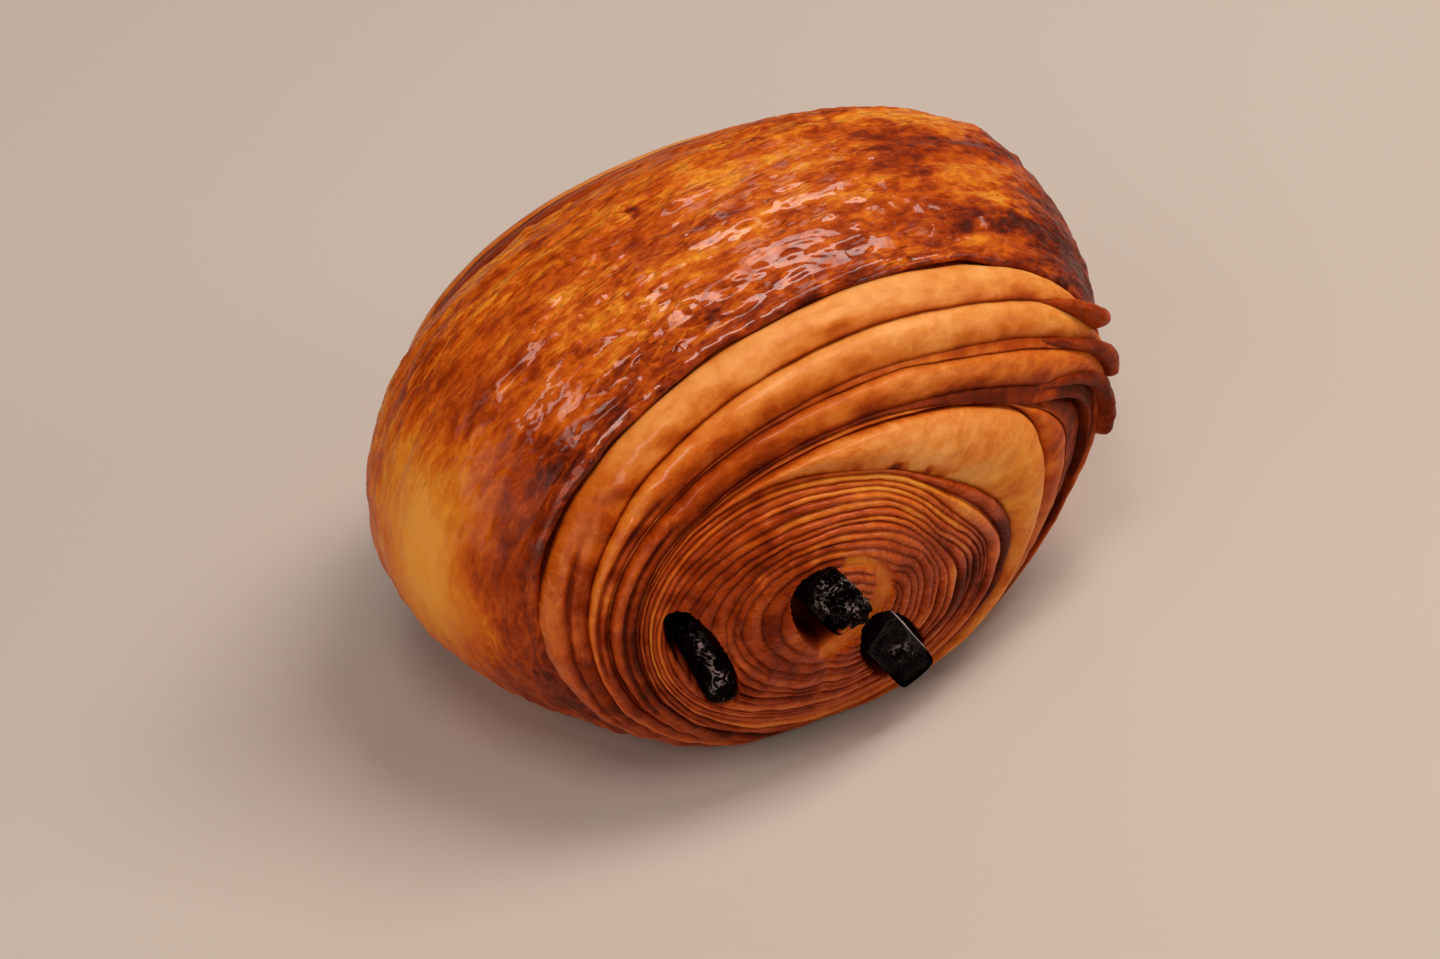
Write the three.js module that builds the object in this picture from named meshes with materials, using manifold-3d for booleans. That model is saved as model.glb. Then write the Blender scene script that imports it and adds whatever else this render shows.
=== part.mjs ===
// Pain au chocolat: a thick roll of layered dough with a domed, terraced end at the front and
// at the back, and three chocolate sticks that run through it from end to end.
// Millimetres, +Z up. The roll lies along Y and its larger, open end faces -Y.
import * as THREE from 'three';
import Module from 'manifold-3d';
import { mergeVertices } from 'three/addons/utils/BufferGeometryUtils.js';

// Cross-section of the roll
const HALF_WIDTH = 52;
const MIDDLE_HEIGHT = 27.7;
const RISE = 30.3;
const DROP = 39;
const TOP_SQUARENESS = 2.1;
const UNDERSIDE_SQUARENESS = 1.95;

// The whole roll leans: each millimetre back shifts it this many millimetres to +X
const LEAN = 0.153;

// Place of the core, round which both ends close
const CORE_X = -4.8;
const CORE_Z = 21.3;

// How far the browned crust reaches along Y, what it gains at +X and at the top,
// how much it narrows on the way, and how far the domed end comes out
const FRONT = { reach: 24, atRight: 2.2, atTop: -4.3, taper: 0.18, taperPower: 1.9, tip: 39.5 };
const BACK = { reach: 17, atRight: -1, atTop: -1, taper: 0.22, taperPower: 2.4, tip: 33 };
const DOME_FLATNESS = 1.97;
const DOME_SHOULDER = 1.31;

// Lines on an end, as a share of the way out from the core to the crust edge,
// given at even steps of angle round the roll from +X over the top
const FRONT_LINES = {
  edge: [1, 1, 1, 1, 1, 1, 1, 1, 1, 1, 1, 1],
  first: [0.985, 0.946, 0.904, 0.904, 0.902, 0.893, 0.89, 0.905, 0.92, 0.94, 0.96, 0.98],
  second: [0.965, 0.845, 0.78, 0.786, 0.8, 0.823, 0.84, 0.85, 0.87, 0.9, 0.93, 0.955],
  third: [0.87, 0.72, 0.67, 0.68, 0.715, 0.745, 0.765, 0.78, 0.82, 0.85, 0.88, 0.9],
  bulge: [0.668, 0.668, 0.645, 0.662, 0.697, 0.735, 0.755, 0.768, 0.79, 0.8, 0.8, 0.74],
  foot: [0.484, 0.432, 0.447, 0.54, 0.667, 0.725, 0.745, 0.755, 0.775, 0.785, 0.76, 0.64],
  inner: [0.36, 0.33, 0.345, 0.44, 0.53, 0.62, 0.68, 0.67, 0.62, 0.6, 0.56, 0.46],
  inmost: [0.19, 0.19, 0.2, 0.26, 0.36, 0.43, 0.45, 0.4, 0.36, 0.34, 0.3, 0.23],
  core: [0, 0, 0, 0, 0, 0, 0, 0, 0, 0, 0, 0],
};
const BACK_LINES = {
  edge: [1, 1, 1, 1, 1, 1, 1, 1],
  first: [0.92, 0.91, 0.9, 0.92, 0.94, 0.94, 0.94, 0.93],
  second: [0.8, 0.76, 0.74, 0.79, 0.84, 0.86, 0.87, 0.84],
  third: [0.64, 0.58, 0.57, 0.64, 0.71, 0.76, 0.77, 0.71],
  inner: [0.42, 0.37, 0.38, 0.46, 0.54, 0.6, 0.6, 0.5],
  core: [0, 0, 0, 0, 0, 0, 0, 0],
};

// Rings of an end from the crust inwards: line behind, line ahead,
// share of the way between the two, height above the smooth dome
const FRONT_RINGS = [
  ['edge', 'first', 0.12, -0.7],
  ['edge', 'first', 0.5, 0.1],
  ['edge', 'first', 0.95, 0.6],
  ['first', 'second', 0.1, -0.5],
  ['first', 'second', 0.45, 0.2],
  ['first', 'second', 0.8, 0.5],
  ['first', 'second', 0.98, 0.8],
  ['second', 'third', 0.12, -0.7],
  ['second', 'third', 0.5, 0.3],
  ['second', 'third', 0.8, 0.7],
  ['second', 'third', 0.98, 1],
  ['third', 'bulge', 0.14, -1.3],
  ['third', 'bulge', 0.6, -0.9],
  ['bulge', 'foot', 0.1, 0.3],
  ['bulge', 'foot', 0.4, 1.1],
  ['bulge', 'foot', 0.75, 0.9],
  ['bulge', 'foot', 1, 0.1],
  ['foot', 'inner', 0.15, -0.7],
  ['foot', 'inner', 0.55, 0.1],
  ['foot', 'inner', 0.95, 0.3],
  ['inner', 'inmost', 0.08, -0.4],
  ['inner', 'inmost', 0.45, 0.3],
  ['inner', 'inmost', 0.52, -0.3],
  ['inner', 'inmost', 0.95, 0.3],
  ['inmost', 'core', 0.06, -0.4],
  ['inmost', 'core', 0.3, 0.2],
  ['inmost', 'core', 0.36, -0.3],
  ['inmost', 'core', 0.65, 0.2],
];
const BACK_RINGS = [
  ['edge', 'first', 0.15, -0.6],
  ['edge', 'first', 0.6, 0.2],
  ['edge', 'first', 0.95, 0.6],
  ['first', 'second', 0.1, -0.6],
  ['first', 'second', 0.5, 0.3],
  ['first', 'second', 0.96, 0.8],
  ['second', 'third', 0.1, -0.8],
  ['second', 'third', 0.5, 0.4],
  ['second', 'third', 0.96, 0.7],
  ['third', 'inner', 0.1, -0.7],
  ['third', 'inner', 0.5, 0.3],
  ['third', 'inner', 0.96, 0.4],
  ['inner', 'core', 0.08, -0.4],
  ['inner', 'core', 0.4, 0.2],
  ['inner', 'core', 0.7, 0.2],
];

// Lips of the layers stand out in blunt tips at the right end: ring, angle, extra height
const TIPS = [
  { ring: 2, angle: 18, height: 2.2 },
  { ring: 6, angle: 0, height: 2.4 },
  { ring: 10, angle: -12, height: 2.4 },
];
const TIP_SPREAD = 6;

// The crust rises to a lip at its edge; the layers fade into the flat underside
const CRUST_LIP = 0.6;
const LIP_WIDTH = 0.08;
const FADE_HEIGHT = 5;

// Numbers of points round the roll and of rings along the crust of one end
const COLUMNS = 60;
const CRUST_RINGS = 8;

// Chocolate sticks: centre at mid-depth, section, turn in degrees, ends along Y,
// and how far each end slants from one long side to the other
const STICKS = [
  { name: 'chocolate_left', x: -26, z: 20.4, width: 13.8, thick: 4.7, turn: -66,
    front: -34.2, back: 28.6, slant: -1.6 },
  { name: 'chocolate_middle', x: -9.2, z: 24.5, width: 10.8, thick: 6.2, turn: -57,
    front: -40, back: 33.4, slant: -0.9 },
  { name: 'chocolate_right', x: 0.4, z: 12.3, width: 13.7, thick: 5.8, turn: -57,
    front: -40.2, back: 32.2, slant: 1 },
];
const STICK_ROUNDING = 1.1;
const CORNER_POINTS = 4;
const STICK_SHOULDER = 0.7;
const GAP = 0.3;
const TUNNEL_OVERRUN = 12;

// Materials
const DOUGH = new THREE.MeshStandardMaterial({ color: 0xb5672a, roughness: 0.5 });
const CHOCOLATE = [0x2a1712, 0x2e1913, 0x261410];

const radians = THREE.MathUtils.degToRad;

// Smooth value at an angle from a list of values spaced evenly round the roll
function around(values, angle) {
  const place = THREE.MathUtils.euclideanModulo(angle, 360) / 360 * values.length;
  const first = Math.floor(place) % values.length;
  const share = place - Math.floor(place);
  const at = (step) => values[(first + step + values.length) % values.length];
  const bend = at(-1) - at(0) * 3 + at(1) * 3 - at(2);
  const rise = at(-1) * 2 - at(0) * 5 + at(1) * 4 - at(2);
  return at(0) + 0.5 * share * (at(1) - at(-1) + share * (rise - share * bend));
}

// Point of the roll's rounded cross-section, drawn in by a scale
function section(angle, scale) {
  const across = Math.cos(radians(angle));
  const up = Math.sin(radians(angle));
  const power = 2 / (up > 0 ? TOP_SQUARENESS : UNDERSIDE_SQUARENESS);
  const height = up > 0 ? RISE : DROP;
  return {
    x: HALF_WIDTH * scale * Math.sign(across) * Math.abs(across) ** power,
    z: MIDDLE_HEIGHT + scale * height * Math.sign(up) * Math.abs(up) ** power,
  };
}

// How far along Y the crust of one end reaches at an angle
function crustReach(end, angle) {
  return end.reach + end.atRight * Math.cos(radians(angle)) + end.atTop * Math.sin(radians(angle));
}

// Point of the crust, from the middle of the roll at along = 0 to its edge at along = 1
function crustPoint(end, side, angle, along) {
  const { x, z } = section(angle, 1 - end.taper * along ** end.taperPower);
  return new THREE.Vector3(x, side * along * crustReach(end, angle), z);
}

// Point of the domed end, from its tip at out = 0 to the crust edge at out = 1
function domePoint(end, side, angle, out) {
  const reach = crustReach(end, angle);
  const { x, z } = section(angle, 1 - end.taper);
  const depth = Math.max(1 - out ** DOME_FLATNESS, 0) ** (1 / DOME_SHOULDER);
  return new THREE.Vector3(
    CORE_X + (x - CORE_X) * out,
    side * (reach + (end.tip - reach) * depth),
    CORE_Z + (z - CORE_Z) * out,
  );
}

// Rings of one end, crust first: each gives a smooth point and a height at an angle
function endRings(end, side, lines, rings, tips) {
  const list = [];
  for (let step = 1; step <= CRUST_RINGS; step += 1) {
    const along = 1 - (1 - step / CRUST_RINGS) ** 1.5;
    const lip = CRUST_LIP * THREE.MathUtils.smoothstep(along, 1 - LIP_WIDTH, 1);
    list.push({ point: (angle) => crustPoint(end, side, angle, along), height: () => lip });
  }
  rings.forEach(([behind, ahead, share, height], index) => {
    const out = (angle) => {
      const outer = around(lines[behind], angle);
      return outer + (around(lines[ahead], angle) - outer) * share;
    };
    const near = tips.filter((tip) => tip.ring === index);
    const extra = (angle) => near.reduce((sum, tip) => {
      const off = THREE.MathUtils.euclideanModulo(angle - tip.angle + 180, 360) - 180;
      return sum + tip.height * Math.exp(-((off / TIP_SPREAD) ** 2));
    }, 0);
    list.push({
      point: (angle) => domePoint(end, side, angle, out(angle)),
      height: (angle) => height + extra(angle),
    });
  });
  return list;
}

// Closed body through rings of points, with a point in the middle of the first and last ring
function closedBody(rings, start, finish) {
  const columns = rings[0].length;
  const positions = rings.flat().concat([start, finish]).flatMap((point) => point.toArray());
  const startIndex = rings.length * columns;
  const finishIndex = startIndex + 1;
  const last = (rings.length - 1) * columns;
  const faces = [];
  for (let column = 0; column < columns; column += 1) {
    const next = (column + 1) % columns;
    for (let ring = 0; ring < rings.length - 1; ring += 1) {
      const a = ring * columns + column;
      const b = ring * columns + next;
      faces.push(a, b + columns, b, a, a + columns, b + columns);
    }
    faces.push(startIndex, column, next, finishIndex, last + next, last + column);
  }
  return { positions, faces };
}

// Roll of dough before its underside is flattened, from the front tip to the back tip
function doughBody() {
  const front = endRings(FRONT, -1, FRONT_LINES, FRONT_RINGS, TIPS).reverse();
  const middle = { point: (angle) => crustPoint(FRONT, -1, angle, 0), height: () => 0 };
  const back = endRings(BACK, 1, BACK_LINES, BACK_RINGS, []);
  const rings = [...front, middle, ...back];
  const angles = Array.from({ length: COLUMNS }, (_, column) => column * 360 / COLUMNS);
  const small = 0.5;
  const raised = rings.map((ring, index) => angles.map((angle) => {
    const point = ring.point(angle);
    const before = rings[Math.max(index - 1, 0)].point(angle);
    const after = rings[Math.min(index + 1, rings.length - 1)].point(angle);
    const along = after.sub(before);
    const round = ring.point(angle + small).sub(ring.point(angle - small));
    const outward = along.cross(round).normalize();
    const fade = THREE.MathUtils.smoothstep(point.z, 0, FADE_HEIGHT);
    return point.addScaledVector(outward, ring.height(angle) * fade);
  }));
  return closedBody(
    raised,
    new THREE.Vector3(CORE_X, -FRONT.tip, CORE_Z),
    new THREE.Vector3(CORE_X, BACK.tip, CORE_Z),
  );
}

// Rounded rectangle in X and Z, shrunk or grown by a margin, at a depth that slants
function stickRing(stick, margin, depth, slant) {
  const halfWidth = stick.width / 2 + margin;
  const halfThick = stick.thick / 2 + margin;
  const rounding = Math.max(STICK_ROUNDING + margin, 0.2);
  const turn = radians(stick.turn);
  const points = [];
  for (let corner = 0; corner < 4; corner += 1) {
    const signX = corner === 0 || corner === 3 ? 1 : -1;
    const signZ = corner < 2 ? 1 : -1;
    for (let step = 0; step < CORNER_POINTS; step += 1) {
      const angle = (corner + step / (CORNER_POINTS - 1)) * Math.PI / 2;
      const x = signX * (halfWidth - rounding) + rounding * Math.cos(angle);
      const z = signZ * (halfThick - rounding) + rounding * Math.sin(angle);
      points.push(new THREE.Vector3(
        stick.x + x * Math.cos(turn) - z * Math.sin(turn),
        depth + slant * x / halfWidth,
        stick.z + x * Math.sin(turn) + z * Math.cos(turn),
      ));
    }
  }
  return points;
}

// Stick with softened end edges
function stickBody(stick) {
  const rings = [
    stickRing(stick, -STICK_SHOULDER, stick.front, stick.slant),
    stickRing(stick, 0, stick.front + STICK_SHOULDER, stick.slant),
    stickRing(stick, 0, stick.back - STICK_SHOULDER, -stick.slant),
    stickRing(stick, -STICK_SHOULDER, stick.back, -stick.slant),
  ];
  return closedBody(
    rings,
    new THREE.Vector3(stick.x, stick.front, stick.z),
    new THREE.Vector3(stick.x, stick.back, stick.z),
  );
}

// Tunnel for a stick, a little wider and longer
function tunnelBody(stick) {
  const front = stick.front - TUNNEL_OVERRUN;
  const back = stick.back + TUNNEL_OVERRUN;
  return closedBody(
    [stickRing(stick, GAP, front, 0), stickRing(stick, GAP, back, 0)],
    new THREE.Vector3(stick.x, front, stick.z),
    new THREE.Vector3(stick.x, back, stick.z),
  );
}

const wasm = await Module();
wasm.setup();

// Solid from points and faces
function solid({ positions, faces }) {
  return new wasm.Manifold(new wasm.Mesh({
    numProp: 3,
    vertProperties: new Float32Array(positions),
    triVerts: new Uint32Array(faces),
  }));
}

// Geometry from a solid, with the roll's lean
function leaningGeometry(body) {
  const mesh = body.getMesh();
  const geometry = new THREE.BufferGeometry();
  geometry.setAttribute('position', new THREE.BufferAttribute(mesh.vertProperties, 3));
  geometry.setIndex(new THREE.BufferAttribute(mesh.triVerts, 1));
  geometry.applyMatrix4(new THREE.Matrix4().set(1, LEAN, 0, 0, 0, 1, 0, 0, 0, 0, 1, 0, 0, 0, 0, 1));
  return mergeVertices(geometry);
}

const pieces = STICKS.map((stick, index) => {
  const material = new THREE.MeshStandardMaterial({ color: CHOCOLATE[index], roughness: 0.4 });
  const mesh = new THREE.Mesh(leaningGeometry(solid(stickBody(stick))), material);
  mesh.name = stick.name;
  return mesh;
});

const flattened = solid(doughBody()).trimByPlane([0, 0, 1], 0);
const hollowed = STICKS.reduce((body, stick) => body.subtract(solid(tunnelBody(stick))), flattened);
const dough = new THREE.Mesh(leaningGeometry(hollowed), DOUGH);
dough.name = 'dough';

// The origin is the middle of the bottom of the whole part's box
const group = new THREE.Group();
group.name = 'pain_au_chocolat';
group.add(dough, ...pieces);
const middle = new THREE.Box3().setFromObject(group).getCenter(new THREE.Vector3());
group.children.forEach((mesh) => mesh.geometry.translate(-middle.x, -middle.y, 0));

export default group;
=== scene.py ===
"""Pain au chocolat: a roll of laminated dough with a glossy crust, open layers at both ends and
three chocolate sticks that run through it. Metres, +Z up, the open front end towards -Y."""

import bpy
import numpy as np
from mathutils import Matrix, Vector


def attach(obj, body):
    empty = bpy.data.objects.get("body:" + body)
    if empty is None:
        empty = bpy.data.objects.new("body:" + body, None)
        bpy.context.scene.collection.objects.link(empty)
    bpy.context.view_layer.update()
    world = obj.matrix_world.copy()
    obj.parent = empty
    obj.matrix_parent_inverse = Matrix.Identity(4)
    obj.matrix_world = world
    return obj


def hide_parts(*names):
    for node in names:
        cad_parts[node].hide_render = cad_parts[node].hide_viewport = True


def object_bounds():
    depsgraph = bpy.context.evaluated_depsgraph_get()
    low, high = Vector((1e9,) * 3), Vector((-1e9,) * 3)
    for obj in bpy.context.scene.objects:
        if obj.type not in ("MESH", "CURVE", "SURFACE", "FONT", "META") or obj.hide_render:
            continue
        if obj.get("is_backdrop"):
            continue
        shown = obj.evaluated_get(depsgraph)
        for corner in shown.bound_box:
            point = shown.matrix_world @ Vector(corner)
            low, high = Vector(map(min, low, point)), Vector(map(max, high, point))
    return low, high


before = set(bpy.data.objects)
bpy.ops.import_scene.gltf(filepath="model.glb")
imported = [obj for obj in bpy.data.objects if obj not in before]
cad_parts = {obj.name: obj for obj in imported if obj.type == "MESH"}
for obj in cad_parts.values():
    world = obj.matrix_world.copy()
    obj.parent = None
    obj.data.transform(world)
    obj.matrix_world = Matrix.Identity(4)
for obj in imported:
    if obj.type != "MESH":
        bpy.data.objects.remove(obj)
cad_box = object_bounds()


# Crust
# The outermost sheet of dough, brushed with egg and baked to a dark, glossy amber. It wraps the
# whole roll and stops short of both ends in a thin raised lip. It is made as a closed shell, and
# its outside carries the roll's swells, the long flakes of the layers under it and blisters.
HALF_WIDTH = 0.052
MIDDLE_HEIGHT = 0.0277
RISE = 0.0303
DROP = 0.039
TOP_SQUARENESS = 2.1
UNDERSIDE_SQUARENESS = 1.95
TUCK = {"depth": 0.024, "angle": -32, "width": 18}
LEAN = 0.153
BOX_SHIFT = 0.00345
FOOT_ROUNDING = 0.0012
FRONT = {"side": -1, "reach": 0.024, "at_right": 0.0022, "at_top": -0.0043, "taper": 0.18,
         "taper_power": 1.9, "tip": 0.0395}
BACK = {"side": 1, "reach": 0.017, "at_right": -0.001, "at_top": -0.001, "taper": 0.22,
        "taper_power": 2.4, "tip": 0.033}
CRUST_COLUMNS = 480
CRUST_ROWS = 172
LIP_ROWS = 7
INSIDE_ROWS = 10
CRUST_OFFSET = -0.00005
CRUST_INSET = 0.00072
CRUST_THICKNESS = 0.0013
LIP_RADIUS = CRUST_THICKNESS / 2
LATTICE = 32
ALL = np.inf

# Amounts of toasting and their places: a middle and a width in degrees round the roll, and shares
# of the way along it, from -1 at the front lip to 1 at the back one. A spot has a middle and a
# width along, a front the share where it sets in towards the front lip and the stretch it takes,
# and a patch a start, a stop, and how soft its edges are round and along. ALL sets no limit.
# The first spot, low at the left, is partly browning and partly painted shade of the lower flank.
SPOTS = [(0.2, 214, 22, 0, ALL), (0.24, 146, 12, -0.3, 0.9), (0.39, 24, 26, 0, ALL),
         (0.05, 84, 34, 0, ALL), (0.18, 64, 7, -0.15, 0.3), (-0.12, 96, 14, 0.1, 0.3)]
# The last front, low at the left, is partly browning and partly painted shade of the lower flank.
FRONTS = [(0.17, 0, ALL, 0.6, 0.3), (0.2, 166, 30, 0.5, 0.3), (-0.17, 34, 24, 0.84, 0.1),
          (0.08, 196, 34, 0.3, 0.3)]
PATCHES = [(-0.2, 49, 10, -0.66, -0.32, 6, 0.14), (-0.2, 52, 9, -0.97, -0.86, 6, 0.06),
           (0.22, 42, 18, -0.2, -0.13, 4, 0.05), (0.25, 40, 20, -0.82, -0.68, 6, 0.08)]
DARK_SPOT = (0.5, 102.5, 1.2, 0.09, 0.22, 1, 0.05)


def smooth(share):
    """Smoothstep: 0 below 0, 1 above 1, and a soft S between them."""
    share = np.clip(share, 0, 1)
    return share * share * (3 - 2 * share)


def hump(distance, width):
    """Bell of height 1 that falls to a third one width away."""
    return np.exp(-(distance / width) ** 2)


def degrees_from(angle, middle):
    """Signed degrees from a middle angle in degrees, the short way round."""
    return (np.degrees(angle) - middle + 180) % 360 - 180


def facing(angle, middle, width):
    """Bell round a middle angle, which is in degrees like the width."""
    return hump(degrees_from(angle, middle), width)


def within(angle, middle, reach, soft):
    """1 near a middle angle, falling to 0 at a reach over a soft stretch, all in degrees."""
    return smooth((reach - np.abs(degrees_from(angle, middle))) / soft)


def powered(value, power):
    """A value's size raised to a power, with the value's sign."""
    return np.sign(value) * np.abs(value) ** power


def section(angle, scale):
    """Point of the roll's cross-section in X and Z: an oval whose cosine and sine are raised to a
    power, blunter above the middle than below it, drawn in towards the middle by a scale, and
    tucked in a little below the tips at the right."""
    across, up = np.cos(angle), np.sin(angle)
    power = 2 / np.where(up > 0, TOP_SQUARENESS, UNDERSIDE_SQUARENESS)
    height = np.where(up > 0, RISE, DROP)
    tuck = 1 - TUCK["depth"] * facing(angle, TUCK["angle"], TUCK["width"])
    return (HALF_WIDTH * scale * tuck * powered(across, power),
            MIDDLE_HEIGHT + scale * height * powered(up, power))


def packed(*parts):
    """Coordinates, each a number or a grid, packed into points."""
    return np.stack(np.broadcast_arrays(*parts), -1)


def crust_reach(end, angle):
    """How far along Y the crust of one end goes: a mean reach plus a cosine and a sine part."""
    return end["reach"] + end["at_right"] * np.cos(angle) + end["at_top"] * np.sin(angle)


def crust_point(end, angle, along):
    """Point of the smooth crust: the cross-section, drawn in by a power of the way to the edge,
    at that way times the crust's reach."""
    x, z = section(angle, 1 - end["taper"] * along ** end["taper_power"])
    return packed(x, end["side"] * along * crust_reach(end, angle), z)


def columns_round(count, parts):
    """Angles round the roll from straight below, closer together where a part asks for it: each
    part is a middle angle, a half width and a gain in density, all of it one smooth sum."""
    fine = np.linspace(-np.pi / 2, 3 * np.pi / 2, 4001)
    density = 0.45 + sum(gain * np.exp(-(degrees_from(fine, middle) / half_width) ** 4)
                         for middle, half_width, gain in parts)
    reached = np.concatenate([[0], np.cumsum((density[1:] + density[:-1]) / 2)])
    return np.interp(np.arange(count) / count, reached / reached[-1], fine)[None]


def wobble(points, size, seed):
    """Smooth random heights between -1 and 1: each corner of a lattice with cells of the given
    size, one for all axes or one each, has a random value, and the eight round a point are
    blended by smoothstep weights."""
    values = np.random.default_rng(seed).uniform(-1, 1, (LATTICE, LATTICE, LATTICE))
    place = points / np.asarray(size) + 2 * LATTICE
    cell = np.floor(place).astype(int)
    share = smooth(place - cell)
    total = 0
    for step in np.ndindex(2, 2, 2):
        weight = np.prod(np.where(step, share, 1 - share), axis=-1)
        i, j, k = np.moveaxis((cell + step) % LATTICE, -1, 0)
        total = total + weight * values[i, j, k]
    return total


def ring_place(angle, height=0):
    """Point of the unit circle at an angle, or at a height over it, for noise that closes round
    the roll."""
    return packed(np.cos(angle), np.sin(angle), height)


def terraces(height, step):
    """A smooth height cut into flat treads, joined by short soft risers."""
    level = height / step
    return step * (np.floor(level) + smooth((level - np.floor(level) - 0.6) / 0.4))


def unit(vectors):
    """Vectors brought to length 1."""
    return vectors / np.linalg.norm(vectors, axis=-1, keepdims=True)


def outward(points):
    """Unit normals of a grid whose rows go along +Y and whose columns go round the roll: the
    cross product of the steps to the neighbours both ways."""
    wrapped = np.concatenate([points[:, -1:], points, points[:, :1]], 1)
    return unit(np.cross(np.gradient(points, axis=0), np.gradient(wrapped, axis=1)[:, 1:-1]))


def placed(points, floor=0):
    """Points given the roll's lean and moved to the part's origin, their heights blended into
    the floor's by a smooth maximum."""
    x, y, z = np.moveaxis(points, -1, 0)
    over = z - floor
    z = floor + (over + np.sqrt(over ** 2 + FOOT_ROUNDING ** 2)) / 2
    return packed(x + LEAN * y, y + BOX_SHIFT, z)


def make_piece(name, node, slot, material, rows, ends=None, **masks):
    """Adds a closed piece that stands for a node: a grid whose columns go round, and whose rows
    go round too or else are closed by fans to two end points. A mask has a number or a vector for
    each point of the grid."""
    points = rows.reshape(-1, 3)
    total, width = len(points), rows.shape[1]
    masks = {key: values.reshape(total, -1) for key, values in masks.items()}
    column = np.arange(width)
    beside = (column + 1) % width
    row = width * np.arange(len(rows) if ends is None else len(rows) - 1)[:, None]
    after = (row + width) % total
    quads = packed(row + column, after + column, after + beside, row + beside)
    faces = quads.reshape(-1, 4).tolist()
    if ends is not None:
        last = total - width
        points = np.concatenate([points, ends])
        masks = {key: np.concatenate([values, values[[0, -1]]]) for key, values in masks.items()}
        faces += [(total, *edge) for edge in zip(column, beside)]
        faces += [(total + 1, *edge) for edge in zip(last + beside, last + column)]
    mesh = bpy.data.meshes.new(name)
    mesh.from_pydata(points.tolist(), [], faces, shade_flat=False)
    for key, values in masks.items():
        kind, field = ("FLOAT_VECTOR", "vector") if values.shape[1] == 3 else ("FLOAT", "value")
        layer = mesh.attributes.new(key, kind, "POINT")
        layer.data.foreach_set(field, values.astype(np.float32).ravel())
    mesh.materials.append(material)
    piece = bpy.data.objects.new(name, mesh)
    bpy.context.scene.collection.objects.link(piece)
    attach(piece, "root")
    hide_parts(node)


def nodes_of(tree):
    """Returns a function that adds a node of a kind with options, and fills its inputs by name,
    or by number after an underscore, from sockets or values."""
    def node(kind, options=None, **inputs):
        made = tree.nodes.new(kind)
        for key, value in (options or {}).items():
            setattr(made, key, value)
        for key, value in inputs.items():
            number = key[1:]
            socket = made.inputs[int(number) if number.isdigit() else key.replace("_", " ")]
            if isinstance(value, bpy.types.NodeSocket):
                tree.links.new(value, socket)
            else:
                socket.default_value = value
        return made

    return node


def material_nodes(name):
    """A new material without nodes, and the function that adds them."""
    material = bpy.data.materials.new(name)
    material.use_nodes = True
    material.node_tree.nodes.clear()
    return material, nodes_of(material.node_tree)


def shaded(node, **inputs):
    """Ends a material in one Principled shader with the given inputs."""
    shader = node("ShaderNodeBsdfPrincipled", **inputs)
    node("ShaderNodeOutputMaterial", Surface=shader.outputs["BSDF"])


def mask(node, name, output="Fac"):
    """A mask of the mesh, by its name."""
    return node("ShaderNodeAttribute", {"attribute_name": name}).outputs[output]


def noise(node, place, scale=1, detail=2, roughness=0.5, distortion=0, output="Fac"):
    """Cloudy noise round a half at a place."""
    return node("ShaderNodeTexNoise", Vector=place, Scale=scale, Detail=detail,
                Roughness=roughness, Distortion=distortion).outputs[output]


def bumped(node, *reliefs):
    """Normal of small reliefs laid over one another, each a strength, a depth and a height."""
    below = {}
    for strength, depth, height in reliefs:
        made = node("ShaderNodeBump", Strength=strength, Distance=depth, Height=height, **below)
        below = {"Normal": made.outputs["Normal"]}
    return below["Normal"]


def stretched(node, place, stretch):
    """A place multiplied by a stretch for each axis."""
    return node("ShaderNodeVectorMath", {"operation": "MULTIPLY"}, _0=place,
                _1=stretch).outputs["Vector"]


def calculated(node, operation, *values):
    """Result of one operation on sockets and numbers."""
    inputs = {f"_{number}": value for number, value in enumerate(values)}
    return node("ShaderNodeMath", {"operation": operation}, **inputs).outputs["Value"]


def off_middle(node, value):
    """How far noise lies from its middle value of a half, either way."""
    return calculated(node, "ABSOLUTE", calculated(node, "SUBTRACT", value, 0.5))


def ranged(node, value, start, stop, low, high):
    """A value's range from start to stop brought to low to high, and held there."""
    made = node("ShaderNodeMapRange", Value=value, From_Min=start, From_Max=stop, To_Min=low,
                To_Max=high)
    return made.outputs["Result"]


def ramp(node, factor, places, colours):
    """Colour that follows a factor through linear colours at given places."""
    made = node("ShaderNodeValToRGB", Fac=factor)
    elements = made.color_ramp.elements
    while len(elements) < len(places):
        elements.new(0.5)
    for element, place, colour in zip(elements, places, colours):
        element.position = place
        element.color = (*colour, 1)
    return made.outputs["Color"]


def blended(node, factor, first, second):
    """Colour between two others."""
    return node("ShaderNodeMix", {"data_type": "RGBA"}, _0=factor, _6=first, _7=second).outputs[2]


TOAST_STEPS = (0.0, 0.22, 0.42, 0.62, 0.82, 1.0)
WASHED = [(0.88, 0.36, 0.036), (0.75, 0.22, 0.013), (0.61, 0.11, 0.004), (0.38, 0.046, 0.001),
          (0.20, 0.018, 0.001), (0.08, 0.007, 0.001)]
BARE = [(0.93, 0.51, 0.2), (0.84, 0.37, 0.1), (0.66, 0.2, 0.024), (0.44, 0.076, 0.003),
        (0.23, 0.026, 0.0015), (0.09, 0.008, 0.001)]
LINE_STRETCH = (80, 2100, 80)
PLATE_STRETCH = (520, 1500, 520)
PLATE_WAVER = (0.0012, 0.0012, 0.0012)
GROUP_INPUTS = {"Place": "Vector", "Stretch": "Vector", "Toast": "Float", "Contrast": "Float",
                "Lines": "Float", "Wash": "Float"}
GROUP_OUTPUTS = {"Color": "Color", "Level": "Float", "Relief": "Float", "Veins": "Float"}


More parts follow.
